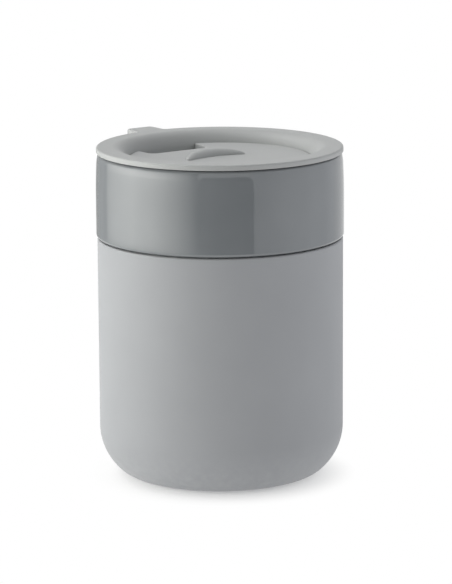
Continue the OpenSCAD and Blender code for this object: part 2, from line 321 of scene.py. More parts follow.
# %% [markdown]
# ## The silicone boot
# The boot is one soft moulding that is stretched over the lower part of the vessel. Its wall is under 2 mm
# thick, its foot is very round, and its top edge stops short of the glazed band, which leaves a thin dark
# line all round. A Solidify modifier could thicken a shell, but the floor is thicker than the wall, so both
# sides are drawn: the outside first, then over the top edge and back down inside.

# %% Turn the silicone boot
SLEEVE_EDGE_R = 0.6 * MM
SLEEVE_INNER_EDGE_R = 0.3 * MM
TOE_STEPS = 12
SIDE_STEPS = 20
INNER_SIDE_STEPS = 12
INNER_TOE_STEPS = 4

sleeve_inside = SLEEVE_R - SLEEVE_T
toe_inside_r = FOOT_TOE_R - SLEEVE_T
toe_inside_turn = turn_to_level(TOE_CENTRE, toe_inside_r, SLEEVE_FLOOR) - FOOT_SIDE_TURN

silicone_boot = begin_outline("silicone_boot", section(0, 0))
line_to(section(TOE_CENTRE.x, 0))
arc(TOE_CENTRE, FOOT_TOE_TURN, TOE_STEPS)
arc(SIDE_CENTRE, FOOT_SIDE_TURN, SIDE_STEPS)
line_to(section(SLEEVE_R, SLEEVE_TOP), section(sleeve_inside, SLEEVE_TOP))
line_to(section(sleeve_inside, SIDE_CENTRE.z))
arc(SIDE_CENTRE, -FOOT_SIDE_TURN, INNER_SIDE_STEPS)
arc(TOE_CENTRE, -toe_inside_turn, INNER_TOE_STEPS)
line_to(section(0, SLEEVE_FLOOR))

round_corner(section(SLEEVE_R, SLEEVE_TOP), SLEEVE_EDGE_R)
round_corner(section(sleeve_inside, SLEEVE_TOP), SLEEVE_INNER_EDGE_R, TINY_CORNER_STEPS)
turn_on_lathe()
finish_piece(silicone_boot, "cup", "silicone_sleeve", weigh_normals=True)

# %% [markdown]
# ## The lid's dished body
# The lid is a plug with a flat rim on top. The rim rolls over in one wide soft curve into a round recess,
# where the closure turns on a low post. Underneath is a hollow skirt with a groove for the seal. Cutting
# all that out of a cylinder would take a boolean for each step, and one turned section has every step in
# it. The section is open at the rim, because the rim's outline isn't round: it has a pull tab, which comes
# next.

# %% Turn the lid's middle
RIM_T = 1.85 * MM
RIM_FLAT = 5.6 * MM
RECESS_DEPTH = 7.6 * MM
RECESS_CORNER_R = 0.4 * MM
ROLL_STEPS = 20
LID_FLOOR_T = 2 * MM
PLUG_LEN = 12 * MM
PLUG_CLEAR = 0.9 * MM
PLUG_WALL = 4.7 * MM
LAND_H = 3 * MM
LAND_CLEAR = 0.35 * MM
SKIRT_T = 3.2 * MM
SKIRT_BEVEL = 0.8 * MM
SKIRT_ROOT_R = 1.0 * MM
SKIRT_EDGE_R = 0.6 * MM
GROOVE_DEPTH = 1.7 * MM
GROOVE_H = 5 * MM
GROOVE_UP = 1.6 * MM
POST_R = 4.5 * MM
POST_EDGE_R = 0.4 * MM
BEAD = 0.3 * MM
DISC_DROP = 4 * MM
DISC_CLEAR = 0.3 * MM
DISC_SKIN = 0.9 * MM

rim_z = LID_TOP - RIM_T
PLUG_R = MOUTH_R - PLUG_CLEAR
plug_z = rim_z - PLUG_LEN
recess_r = PLUG_R - PLUG_WALL
recess_z = LID_TOP - RECESS_DEPTH
roll_r = LID_R - RIM_FLAT - recess_r
ROLL_CENTRE = section(recess_r + roll_r, LID_TOP - roll_r)
groove_z = plug_z + GROOVE_UP
groove_back = PLUG_R - GROOVE_DEPTH
disc_top = LID_TOP - DISC_DROP
hub_top = disc_top - DISC_SKIN
post_top = hub_top - DISC_CLEAR
bead_z = (recess_z + post_top) / 2
land_r = MOUTH_R - LAND_CLEAR
skirt_r = PLUG_R - SKIRT_T

lid_moulding = begin_outline("lid_moulding", section(ROLL_CENTRE.x, LID_TOP))
arc(ROLL_CENTRE, QUARTER, ROLL_STEPS)
line_to(section(recess_r, recess_z), section(POST_R, recess_z))
line_to(section(POST_R, bead_z - BEAD), section(POST_R + BEAD, bead_z))
line_to(section(POST_R, bead_z + BEAD), section(POST_R, post_top), section(0, post_top))
lift_to(section(0, recess_z - LID_FLOOR_T))
line_to(section(skirt_r, recess_z - LID_FLOOR_T), section(skirt_r, plug_z))
line_to(section(PLUG_R - SKIRT_BEVEL, plug_z))
line_to(section(PLUG_R, plug_z + SKIRT_BEVEL), section(PLUG_R, groove_z), section(groove_back, groove_z))
line_to(section(groove_back, groove_z + GROOVE_H), section(PLUG_R, groove_z + GROOVE_H))
line_to(section(PLUG_R, rim_z - LAND_H), section(land_r, rim_z - LAND_H), section(land_r, rim_z))

round_corner(section(recess_r, recess_z), RECESS_CORNER_R, SMALL_CORNER_STEPS)
round_corner(section(POST_R, post_top), POST_EDGE_R, TINY_CORNER_STEPS)
round_corner(section(skirt_r, recess_z - LID_FLOOR_T), SKIRT_ROOT_R)
round_corner(section(skirt_r, plug_z), SKIRT_EDGE_R, SMALL_CORNER_STEPS)
turn_on_lathe()
bpy.ops.object.mode_set(mode="OBJECT")
print(f"recess {recess_r / MM:.1f} mm in radius, with an edge that rolls over {roll_r / MM:.1f} mm")

# %% [markdown]
# ## The rim with its pull tab
# A finger lifts the lid by a flat tab that grows out of the rim, with rounded corners and soft roots. A
# boolean of a ring and a box would leave rough faces where their tops lie in one plane. Instead the whole
# outline is drawn in plan with the same pen, raised to the rim's thickness and bevelled, so that one soft
# upper edge and one crisp lower edge run without a break along the rim, into the roots and round the tab.

# %% Draw the rim and raise it
RIM_EDGE_R = 0.7 * MM
RIM_LOWER_R = 0.25 * MM
TAB_W = 11.2 * MM
TAB_CORNER_R = 2.2 * MM
TAB_ROOT_R = 1.2 * MM
TAB_STEPS = 8
RIM_STEPS = 182
RIM_EDGE_STEPS = 6

tab_end = lid_high.y
tab_half = TAB_W / 2
root_x = tab_half + TAB_ROOT_R
root_y = math.sqrt((LID_R + TAB_ROOT_R) ** 2 - root_x**2)
root_turn = math.atan2(root_x, root_y)
corner_x = tab_half - TAB_CORNER_R
corner_y = tab_end - TAB_CORNER_R


def on_rim(x, y):
    return Vector((x, y, rim_z))


rim_plate = begin_outline("rim_plate", on_rim(LID_R * math.sin(root_turn), LID_R * math.cos(root_turn)))
arc(on_rim(root_x, root_y), root_turn - QUARTER, TAB_STEPS, SEEN_FROM_ABOVE)
line_to(on_rim(tab_half, corner_y))
arc(on_rim(corner_x, corner_y), QUARTER, TAB_STEPS, SEEN_FROM_ABOVE)
line_to(on_rim(-corner_x, tab_end))
arc(on_rim(-corner_x, corner_y), QUARTER, TAB_STEPS, SEEN_FROM_ABOVE)
line_to(on_rim(-tab_half, root_y))
arc(on_rim(-root_x, root_y), root_turn - QUARTER, TAB_STEPS, SEEN_FROM_ABOVE)
arc(on_rim(0, 0), math.tau - 2 * root_turn, RIM_STEPS, SEEN_FROM_ABOVE)
bpy.ops.mesh.select_all(action="SELECT")
bpy.ops.mesh.remove_doubles(threshold=WELD)
bpy.ops.mesh.edge_face_add()
bpy.ops.mesh.extrude_region_move(TRANSFORM_OT_translate={"value": (0, 0, RIM_T)})
bpy.ops.mesh.select_mode(type="EDGE")
rim_edges = ((LID_TOP, RIM_EDGE_R, RIM_EDGE_STEPS), (rim_z, RIM_LOWER_R, TINY_CORNER_STEPS))
for level, radius, steps in rim_edges:
    pick(lambda e: lies_at(e, level))
    bpy.ops.mesh.bevel(offset=radius, segments=steps, affect="EDGES")
bpy.ops.mesh.select_mode(type="FACE")
pick(lambda f: len(f.verts) > RIM_STEPS)
bpy.ops.mesh.delete(type="ONLY_FACE")
bpy.ops.object.mode_set(mode="OBJECT")
print("the rim's round edge:", len(rim_plate.data.polygons), "faces")

# %% [markdown]
# The edge and the middle are now joined. The flat strips between them, one on top and one underneath, are
# filled in. An inset puts a narrow strip inside each flat face, so that smooth shading stays in the round
# edges and the flats stay flat.

# %% Join the rim to the middle
EDGE_STRIP = 0.25 * MM

select_only(rim_plate, lid_moulding)
bpy.ops.object.join()
bpy.ops.object.mode_set(mode="EDIT")
for level in (LID_TOP, rim_z):
    bpy.ops.mesh.select_mode(type="EDGE")
    pick(lambda e: e.is_boundary and lies_at(e, level))
    bpy.ops.mesh.fill(use_beauty=True)
    bpy.ops.mesh.select_mode(type="FACE")
    bpy.ops.mesh.inset(thickness=EDGE_STRIP)
bpy.ops.mesh.select_mode(type="VERT")
weld_and_face_out()
bpy.ops.mesh.select_all(action="DESELECT")
bpy.ops.mesh.select_non_manifold()
open_edges = sum(v.select for v in bmesh.from_edit_mesh(lid_moulding.data).verts)
bpy.ops.object.mode_set(mode="OBJECT")
print("lid:", len(lid_moulding.data.polygons), "faces, open vertices:", open_edges)

# %% [markdown]
# ## Holes in the recess floor
# The drink leaves through a long slot near the wall, and air comes in through a small hole beside it. A
# curved track lets the closure's stop run a quarter turn. Holes with rounded outlines are quickest as
# cutters: the outline is drawn, filled and extruded, and a boolean modifier takes it out of the floor.

# %% Cut the slot, the air hole and the track
SLOT_LEN = 15 * MM
SLOT_W = 6 * MM
SLOT_LAND = 3.2 * MM
WINDOW_X = -3.4 * MM
VENT_D = 2 * MM
VENT_LAND = 2.2 * MM
STOP_R = 10.5 * MM
STOP_W = 3 * MM
STOP_DEPTH = 0.9 * MM
STOP_TURN = math.radians(90)
LUG_TURN = math.radians(16)
LUG_PLAY = math.radians(2)
LUG_MIDDLE = math.radians(270)
OVERRUN = 0.5 * MM
SLOT_STEPS = 16
TRACK_STEPS = 24
VENT_STEPS = 32

slot_y = recess_r - SLOT_LAND - SLOT_W / 2


def raise_outline(height):
    """Closes the outline that was drawn, fills it and raises it to a solid."""
    bpy.ops.mesh.select_all(action="SELECT")
    bpy.ops.mesh.remove_doubles(threshold=WELD)
    bpy.ops.mesh.edge_face_add()
    bpy.ops.mesh.extrude_region_move(TRANSFORM_OT_translate={"value": (0, 0, height)})
    weld_and_face_out()
    bpy.ops.object.mode_set(mode="OBJECT")


def combine(piece, tool, how):
    """One boolean step, applied, after which the tool is removed."""
    select_only(piece)
    bpy.ops.object.modifier_add(type="BOOLEAN")
    step = piece.modifiers[-1]
    step.operation = how
    step.object = tool
    bpy.ops.object.modifier_apply(modifier=step.name)
    print(f"{piece.name}: {how.lower()} with {tool.name}, {len(piece.data.polygons)} faces")
    bpy.data.objects.remove(tool)


def begin_slot(name, middle, length, width):
    """A slot with round ends, lying along X."""
    end = Vector(((length - width) / 2, 0, 0))
    side = Vector((0, width / 2, 0))
    outline = begin_outline(name, middle + end - side)
    arc(middle + end, math.pi, SLOT_STEPS, SEEN_FROM_ABOVE)
    line_to(middle - end + side)
    arc(middle - end, math.pi, SLOT_STEPS, SEEN_FROM_ABOVE)
    return outline


def begin_track(name, from_turn, to_turn, width, height):
    """A curved strip round the pivot."""
    inner = Vector((math.cos(from_turn), math.sin(from_turn), 0)) * (STOP_R - width / 2)
    outer = Vector((math.cos(to_turn), math.sin(to_turn), 0)) * (STOP_R + width / 2)
    level = Vector((0, 0, height))
    outline = begin_outline(name, inner + level)
    arc(level, to_turn - from_turn, TRACK_STEPS, SEEN_FROM_ABOVE)
    line_to(outer + level)
    arc(level, from_turn - to_turn, TRACK_STEPS, SEEN_FROM_ABOVE)
    return outline


floor_bottom = recess_z - LID_FLOOR_T - OVERRUN
floor_cut = LID_FLOOR_T + 2 * OVERRUN
slot_cutter = begin_slot("slot_cutter", Vector((WINDOW_X, slot_y, floor_bottom)), SLOT_LEN, SLOT_W)
raise_outline(floor_cut)
combine(lid_moulding, slot_cutter, "DIFFERENCE")

vent_x = WINDOW_X + SLOT_LEN / 2 + VENT_LAND
vent_cutter = begin_outline("vent_cutter", Vector((vent_x + VENT_D / 2, slot_y, floor_bottom)))
arc(Vector((vent_x, slot_y, floor_bottom)), math.tau, VENT_STEPS, SEEN_FROM_ABOVE)
raise_outline(floor_cut)
combine(lid_moulding, vent_cutter, "DIFFERENCE")

track_from = LUG_MIDDLE - LUG_TURN / 2 - STOP_TURN - LUG_PLAY
track_to = LUG_MIDDLE + LUG_TURN / 2 + LUG_PLAY
track_cutter = begin_track("track_cutter", track_from, track_to, STOP_W, recess_z - STOP_DEPTH)
raise_outline(STOP_DEPTH + OVERRUN)
combine(lid_moulding, track_cutter, "DIFFERENCE")
finish_piece(lid_moulding, "lid", "lid_body", weigh_normals=True)

# %% [markdown]
# ## The seal
# A ring of soft silicone sits in the groove of the plug and presses on the mouth with two thin lips. It
# shows when the lid is lifted off. A torus could be squeezed into its shape, but the pen draws the lips as
# they are. The section is a closed loop away from the axis, so the lathe makes a ring. Its lips stop a
# hair short of the mouth, where the real ones bend.

# %% Turn the seal
GASKET_FIT = 0.05 * MM
SEAL_GAP = 0.3 * MM
GASKET_LIP_T = 1.1 * MM
LIP_PLACES = (0.25, 0.75)

seal_back = groove_back + GASKET_FIT
seal_tip = MOUTH_R - SEAL_GAP
seal_low = groove_z + GASKET_FIT
seal_high = groove_z + GROOVE_H - GASKET_FIT

seal_ring = begin_outline("seal_ring", section(seal_back, seal_high))
line_to(section(seal_back, seal_low), section(PLUG_R, seal_low))
for share in LIP_PLACES:
    lip_z = seal_low + share * (seal_high - seal_low)
    line_to(section(PLUG_R, lip_z - GASKET_LIP_T / 2), section(seal_tip, lip_z))
    line_to(section(seal_tip, lip_z + GASKET_LIP_T / 2), section(PLUG_R, lip_z + GASKET_LIP_T / 2))
line_to(section(PLUG_R, seal_high), section(seal_back, seal_high))
turn_on_lathe()
finish_piece(seal_ring, "lid", "lid_gasket")

# %% [markdown]
# ## The closure disc
# The disc fills the recess with a hair of room round it and has a notch at its edge, the drinking window. A
# turned disc with the window cut out of it would have a fan of thin faces on top, which spoils a bevel. So
# the disc is drawn in plan, notch and all, like the rim. Its top face is extruded downwards in steps, each
# drawn in to follow the rolled shoulder of the lid, and the edge that a finger meets is bevelled.

# %% Draw the disc with its window
WINDOW_W = 23.6 * MM
WINDOW_FLARE = {-1: math.radians(0), 1: math.radians(9)}
WINDOW_CORNER_R = 2.5 * MM
WINDOW_MARGIN = 3.1 * MM
WINDOW_END_R = 0.8 * MM
DISC_EDGE_R = 0.35 * MM
WINDOW_STEPS = 8
DISC_STEPS = 168

disc_z = recess_z + DISC_CLEAR
edge_r = roll_r + DISC_CLEAR


def disc_radius(level):
    """The disc's edge at a level: where the shoulder's roll, grown by the gap, lies."""
    rise = max(level - ROLL_CENTRE.z, 0)
    return ROLL_CENTRE.x - math.sqrt(edge_r**2 - rise**2)


disc_r = disc_radius(disc_top)
window_y = slot_y - SLOT_W / 2 - WINDOW_MARGIN


def in_window(side, x, y):
    """A point measured from the window's inner corner on one side, -1 left or 1 right."""
    return Vector((WINDOW_X + side * (WINDOW_W / 2 + x), window_y + y, disc_top))


def window_end(side):
    """Where one flared side of the window runs out over the disc's edge."""
    reach = Vector((side * math.sin(WINDOW_FLARE[side]), math.cos(WINDOW_FLARE[side]), 0))
    start = in_window(side, 0, 0) - Vector((0, 0, disc_top))
    along = start.dot(reach)
    run = math.sqrt(along**2 - start.length_squared + disc_r**2) - along
    return in_window(side, 0, 0) + reach * run


def window_corner(side):
    """The middle of the rounding in one inner corner."""
    inset = WINDOW_CORNER_R * math.tan((QUARTER - WINDOW_FLARE[side]) / 2)
    return in_window(side, -inset, WINDOW_CORNER_R)


right_end = window_end(1)
left_end = window_end(-1)
window_turn = math.atan2(left_end.y, left_end.x) - math.atan2(right_end.y, right_end.x)
left_corner = window_corner(-1)
right_corner = window_corner(1)
corner_reach = WINDOW_CORNER_R * Vector((-math.cos(WINDOW_FLARE[-1]), -math.sin(WINDOW_FLARE[-1]), 0))

closure_cap = begin_outline("closure_cap", right_end)
arc(Vector((0, 0, disc_top)), window_turn - math.tau, DISC_STEPS, SEEN_FROM_ABOVE)
line_to(left_corner + corner_reach)
arc(left_corner, QUARTER - WINDOW_FLARE[-1], WINDOW_STEPS, SEEN_FROM_ABOVE)
line_to(right_corner - Vector((0, WINDOW_CORNER_R, 0)))
arc(right_corner, QUARTER - WINDOW_FLARE[1], WINDOW_STEPS, SEEN_FROM_ABOVE)
line_to(right_end)
bpy.ops.mesh.select_all(action="SELECT")
bpy.ops.mesh.remove_doubles(threshold=WELD)
for end in (left_end, right_end):
    round_corner(end, WINDOW_END_R, SMALL_CORNER_STEPS)
bpy.ops.mesh.select_all(action="SELECT")
bpy.ops.mesh.edge_face_add()
print(f"the window takes {math.degrees(window_turn):.0f} degrees of the disc's edge")

# %% Give the disc its thickness and round its top edge
EDGE_STEPS = 4
EDGE_BAND = 1.5 * MM

level = disc_top
for step in range(EDGE_STEPS):
    drop = (disc_top - disc_z) / EDGE_STEPS
    shrink = disc_radius(level - drop) / disc_radius(level)
    bpy.ops.mesh.extrude_region_move(TRANSFORM_OT_translate={"value": (0, 0, -drop)})
    level -= drop
    bpy.ops.mesh.select_mode(type="VERT")
    pick(lambda v: abs(v.co.z - level) < WELD and v.co.xy.length > disc_radius(level) - EDGE_BAND
         and v.co.xy.length > disc_r - EDGE_BAND)
    bpy.ops.transform.resize(value=(shrink, shrink, 1), center_override=(0, 0, 0))
    bpy.ops.mesh.select_mode(type="FACE")
    pick(lambda f: len(f.verts) > DISC_STEPS and abs(f.calc_center_median().z - level) < WELD)
weld_and_face_out()
bpy.ops.mesh.select_mode(type="EDGE")
pick(lambda e: lies_at(e, disc_top))
bpy.ops.mesh.bevel(offset=DISC_EDGE_R, segments=SMALL_CORNER_STEPS, affect="EDGES")
bpy.ops.object.mode_set(mode="OBJECT")
print("disc with its window:", len(closure_cap.data.polygons), "faces")

# %% [markdown]
# Underneath, a hub hollow snaps over the bead of the lid's post. It is turned as a solid of its own, a
# shade wider than the post, and cut out of the disc.

# %% Cut the hub
PIVOT_CLEAR = 0.08 * MM

hub_r = POST_R + PIVOT_CLEAR
hub_cutter = begin_outline("hub_cutter", section(0, disc_z - OVERRUN))
line_to(section(hub_r, disc_z - OVERRUN), section(hub_r, bead_z - BEAD), section(hub_r + BEAD, bead_z))
line_to(section(hub_r, bead_z + BEAD), section(hub_r, hub_top), section(0, hub_top))
turn_on_lathe()
bpy.ops.object.mode_set(mode="OBJECT")
combine(closure_cap, hub_cutter, "DIFFERENCE")

# %% [markdown]
# ## The arched grip
# A thumb turns the disc by a low ridge that is bowed in plan and swells from both tips to its middle. A
# round ball, flattened and stretched to the ridge's length, width and height, has that swell already. The
# bend tool needs a window, so each vertex is turned by its share of the bow, round a centre on the side
# away from the drinking window. A union makes it one piece with the disc. The crease where they meet is
# marked sharp, so that the disc's flat top keeps a flat shading.

# %% Shape the grip and the stop
GRIP_LEN = 23.5 * MM
GRIP_W = 6 * MM
GRIP_H = 2.3 * MM
GRIP_BOW_R = 16 * MM
GRIP_X = -1.3 * MM
GRIP_Y = 4.9 * MM
GRIP_SEGMENTS = 64
GRIP_RINGS = 48

bpy.ops.object.select_all(action="DESELECT")
bpy.ops.mesh.primitive_uv_sphere_add(segments=GRIP_SEGMENTS, ring_count=GRIP_RINGS, radius=1,
                                     rotation=(0, QUARTER, 0))
grip = bpy.context.object
grip.name = "grip"
bpy.ops.object.transform_apply(rotation=True)
bpy.ops.object.mode_set(mode="EDIT")
bpy.ops.transform.resize(value=(GRIP_LEN / 2, GRIP_W / 2, GRIP_H))
bpy.ops.object.mode_set(mode="OBJECT")
bow = math.asin(GRIP_LEN / 2 / GRIP_BOW_R)
for vertex in grip.data.vertices:
    turn = vertex.co.x / (GRIP_LEN / 2) * bow
    reach = GRIP_BOW_R + vertex.co.y
    vertex.co.x = reach * math.sin(turn) + GRIP_X
    vertex.co.y = reach * math.cos(turn) - GRIP_BOW_R + GRIP_Y
    vertex.co.z += disc_top
combine(closure_cap, grip, "UNION")
bpy.ops.object.mode_set(mode="EDIT")
bpy.ops.mesh.select_mode(type="EDGE")
crease = pick(lambda e: lies_at(e, disc_top)
              and any(f.calc_center_median().z > disc_top + WELD for f in e.link_faces))
bpy.ops.mesh.mark_sharp()
bpy.ops.object.mode_set(mode="OBJECT")
print("the grip meets the disc along", crease, "edges")

stop = begin_track("stop", LUG_MIDDLE - LUG_TURN / 2, LUG_MIDDLE + LUG_TURN / 2,
                   STOP_W - 2 * DISC_CLEAR, recess_z - STOP_DEPTH + DISC_CLEAR)
raise_outline(STOP_DEPTH + OVERRUN)
combine(closure_cap, stop, "UNION")
finish_piece(closure_cap, "closure", "closure_disc", weigh_normals=True)

# %% [markdown]
# ## Finishes
# Each finish is a few nodes on object coordinates, so it needs no unwrapping and keeps its real scale: a
# soft change of tone a few centimetres wide, a fine grain for the moulded surfaces and a slight unevenness
# in gloss. Use shows at known places, such as the foot that is set down and the rim that is held, so height
# and distance from the axis tell where it goes. The Geometry node's pointiness would find edges too, but it
# is kept in the vertices and would smear over the tall faces of a turned piece.

# %% Material tools
NOISE_LOW = 0.3
NOISE_HIGH = 0.7
GRAIN_DETAIL = 3.0
GRAIN_STRENGTH = 0.6
SHEEN_ROUGH = 0.5


def new_finish(name):
    finish = bpy.data.materials.new(name)
    finish.use_nodes = True
    return finish, finish.node_tree.nodes, finish.node_tree.links


def add_place(nodes):
    """Object coordinates: the place on the piece, in metres."""
    return nodes.new("ShaderNodeTexCoord").outputs["Object"]


def add_noise(nodes, links, scale, detail=2.0):
    """Noise on object coordinates. scale counts its lumps in one metre."""
    noise = nodes.new("ShaderNodeTexNoise")
    noise.inputs["Scale"].default_value = scale
    noise.inputs["Detail"].default_value = detail
    links.new(add_place(nodes), noise.inputs["Vector"])
    return noise.outputs["Fac"]


def add_span(nodes, links, value, start, end, at_start=0, at_end=1):
    """Turns a value that runs from start to end into one that runs from at_start to at_end."""
    span = nodes.new("ShaderNodeMapRange")
    ends = {"From Min": start, "From Max": end, "To Min": at_start, "To Max": at_end}
    for socket, number in ends.items():
        span.inputs[socket].default_value = number
    links.new(value, span.inputs["Value"])
    return span.outputs["Result"]


def add_range(nodes, links, value, low, high):
    """Spreads the middle of a noise over a range."""
    return add_span(nodes, links, value, NOISE_LOW, NOISE_HIGH, low, high)


def add_tone(nodes, links, value, dark, light):
    """A colour between two close tones."""
    tone = nodes.new("ShaderNodeMix")
    tone.data_type = "RGBA"
    tone.inputs["A"].default_value = (*dark, 1)
    tone.inputs["B"].default_value = (*light, 1)
    links.new(value, tone.inputs["Factor"])
    return tone.outputs["Result"]


def add_bump(nodes, links, height, distance, strength):
    bump = nodes.new("ShaderNodeBump")
    bump.inputs["Strength"].default_value = strength
    bump.inputs["Distance"].default_value = distance
    links.new(height, bump.inputs["Height"])
    return bump.outputs["Normal"]


def add_ramp(nodes, links, axis, start, end, at_start=0, at_end=1):
    """A value that changes evenly along one axis of the piece, between two places."""
    parts = nodes.new("ShaderNodeSeparateXYZ")
    links.new(add_place(nodes), parts.inputs["Vector"])
    return add_span(nodes, links, parts.outputs[axis], start, end, at_start, at_end)


def add_math(nodes, links, operation, first, second):
    """One step of arithmetic on two values."""
    step = nodes.new("ShaderNodeMath")
    step.operation = operation
    links.new(first, step.inputs[0])
    links.new(second, step.inputs[1])
    return step.outputs["Value"]


def add_reach(nodes, links, start, end):
    """0 at one distance from the upright axis and 1 at another."""
    flat = nodes.new("ShaderNodeVectorMath")
    flat.operation = "MULTIPLY"
    flat.inputs[1].default_value = (1, 1, 0)
    reach = nodes.new("ShaderNodeVectorMath")
    reach.operation = "LENGTH"
    links.new(add_place(nodes), flat.inputs[0])
    links.new(flat.outputs["Vector"], reach.inputs[0])
    return add_span(nodes, links, reach.outputs["Value"], start, end)


def add_wear_and_highlight(finish, amount, tone, rough):
    """Blends another tone and roughness into a finish, by an amount from 0 to 1, for wear and for painted
    highlight.
    """
    nodes, links = finish.node_tree.nodes, finish.node_tree.links
    for socket, kind, worn in (("Base Color", "RGBA", (*tone, 1)), ("Roughness", "FLOAT", rough)):
        target = nodes["Principled BSDF"].inputs[socket]
        blend = nodes.new("ShaderNodeMix")
        blend.data_type = kind
        links.new(target.links[0].from_socket, blend.inputs["A"])
        blend.inputs["B"].default_value = worn
        links.new(amount, blend.inputs["Factor"])
        links.new(blend.outputs["Result"], target)


def moulded(name, dark, light, tone_scale, grain_scale, grain_depth, rough, sheen):
    """A matte moulded finish: a slow change of tone, a fine grain and a soft sheen."""
    finish, nodes, links = new_finish(name)
    shader = nodes["Principled BSDF"]
    tone = add_range(nodes, links, add_noise(nodes, links, tone_scale), 0, 1)
    grain = add_noise(nodes, links, grain_scale, GRAIN_DETAIL)
    links.new(add_tone(nodes, links, tone, dark, light), shader.inputs["Base Color"])
    links.new(add_range(nodes, links, grain, *rough), shader.inputs["Roughness"])
    links.new(add_bump(nodes, links, grain, grain_depth, GRAIN_STRENGTH), shader.inputs["Normal"])
    shader.inputs["Sheen Weight"].default_value = sheen
    shader.inputs["Sheen Roughness"].default_value = SHEEN_ROUGH
    return finish


def paint(piece, finish):
    piece.data.materials.clear()
    piece.data.materials.append(finish)
    print(f"{piece.name} is finished in {finish.name}")


# %% [markdown]
# The glaze is a glass, so it is smooth and mirrors like one. It runs thin over a sharp edge in the kiln,
# which leaves a paler line along the lip and along the lower edge of the band. That line is made paler than
# thin glaze alone would be: it is partly a painted highlight, where the rounded edges catch the light. A
# layered shader could mix two glazes, but a blend of two tones by height is enough for a line of a
# millimetre.

# %% Glaze the cup
GLAZE_IOR = 1.55
GLAZE_DARK = (0.178, 0.191, 0.202)
GLAZE_LIGHT = (0.193, 0.206, 0.217)
GLAZE_ROUGH = (0.05, 0.08)
CLOUD_SCALE = 45
WAVE_SCALE = 70
WAVE_DETAIL = 1.0
WAVE_DEPTH = 0.05 * MM
WAVE_STRENGTH = 0.5
# Width and tone of the pale edge line: partly thin glaze, partly painted highlight.
THIN_GLAZE_HIGHLIGHT_W = 1.2 * MM
THIN_GLAZE_HIGHLIGHT_TONE = (0.21, 0.222, 0.232)
THIN_ROUGH = 0.12


def glossy_glaze():
    finish, nodes, links = new_finish("grey_glaze")
    shader = nodes["Principled BSDF"]
    shader.inputs["IOR"].default_value = GLAZE_IOR
    tone = add_range(nodes, links, add_noise(nodes, links, CLOUD_SCALE), 0, 1)
    wave = add_noise(nodes, links, WAVE_SCALE, WAVE_DETAIL)
    links.new(add_tone(nodes, links, tone, GLAZE_DARK, GLAZE_LIGHT), shader.inputs["Base Color"])
    links.new(add_range(nodes, links, tone, *GLAZE_ROUGH), shader.inputs["Roughness"])
    links.new(add_bump(nodes, links, wave, WAVE_DEPTH, WAVE_STRENGTH), shader.inputs["Normal"])
    # The pale tone along the lip and the band's lower edge is partly thin glaze and partly painted
    # highlight.
    lip_highlight = add_ramp(nodes, links, "Z", LIP_Z - THIN_GLAZE_HIGHLIGHT_W, LIP_Z)
    band_edge_highlight = add_ramp(nodes, links, "Z", band_z + THIN_GLAZE_HIGHLIGHT_W, band_z)
    add_wear_and_highlight(finish, add_math(nodes, links, "MAXIMUM", lip_highlight, band_edge_highlight), THIN_GLAZE_HIGHLIGHT_TONE, THIN_ROUGH)
    return finish


paint(glazed_cup, glossy_glaze())

# %% [markdown]
# The boot, the lid and the seal are moulded and matte. The boot gets pale scuffs on its foot from standing
# on tables: a broken noise that fades out up the side. The lid's rim is polished a little where fingers
# hold it. One function makes all three, because only their tones, grain and gloss differ.

# %% Finish the mouldings
SCUFF_TOP = 16 * MM
SCUFF_FULL = 3 * MM
SCUFF_MOST = 0.45
SCUFF_SCALE = 420
SCUFF_DETAIL = 5.0
SCUFF_TONE = (0.40, 0.408, 0.415)
SCUFF_ROUGH = 0.85
RIM_WORN = 1.1 * MM
RIM_TONE = (0.376, 0.386, 0.384)
RIM_ROUGH = 0.45
HOLD_SCALE = 160
HOLD_DETAIL = 3.0
HOLD_RANGE = (0.2, 0.8)

boot_finish = moulded("boot_silicone", dark=(0.311, 0.320, 0.335), light=(0.326, 0.335, 0.350),
                      tone_scale=40, grain_scale=2600, grain_depth=0.02 * MM,
                      rough=(0.62, 0.72), sheen=0.1)
nodes, links = boot_finish.node_tree.nodes, boot_finish.node_tree.links
scuffs = add_range(nodes, links, add_noise(nodes, links, SCUFF_SCALE, SCUFF_DETAIL), 0, SCUFF_MOST)
on_foot = add_ramp(nodes, links, "Z", SCUFF_TOP, SCUFF_FULL)
add_wear_and_highlight(boot_finish, add_math(nodes, links, "MULTIPLY", scuffs, on_foot), SCUFF_TONE, SCUFF_ROUGH)
paint(silicone_boot, boot_finish)

lid_finish = moulded("matte_lid_plastic", dark=(0.376, 0.386, 0.385), light=(0.392, 0.402, 0.401),
                     tone_scale=50, grain_scale=3200, grain_depth=0.015 * MM,
                     rough=(0.5, 0.6), sheen=0.05)
nodes, links = lid_finish.node_tree.nodes, lid_finish.node_tree.links
held = add_range(nodes, links, add_noise(nodes, links, HOLD_SCALE, HOLD_DETAIL), *HOLD_RANGE)
at_rim = add_reach(nodes, links, LID_R - RIM_WORN, LID_R)
add_wear_and_highlight(lid_finish, add_math(nodes, links, "MULTIPLY", held, at_rim), RIM_TONE, RIM_ROUGH)
paint(lid_moulding, lid_finish)
paint(closure_cap, lid_finish)

seal_finish = moulded("seal_silicone", dark=(0.44, 0.445, 0.445), light=(0.47, 0.475, 0.475),
                      tone_scale=60, grain_scale=2600, grain_depth=0.01 * MM,
                      rough=(0.4, 0.5), sheen=0.1)
paint(seal_ring, seal_finish)

# %% [markdown]
# ## The studio
# The cup stands on a white table in a white room, between soft lights that show in its glaze. Area lamps
# would light it as well, but they are mirrored as plain rectangles. A wall that bends round the cup is as
# easy to spin as the cup itself, and its node material can fade the light towards any of its ends.

# %% Studio walls
STUDIO_R = 0.38
WALL_TOP = 0.6
WALL_STEPS = 48
WHITE = (1, 1, 1)


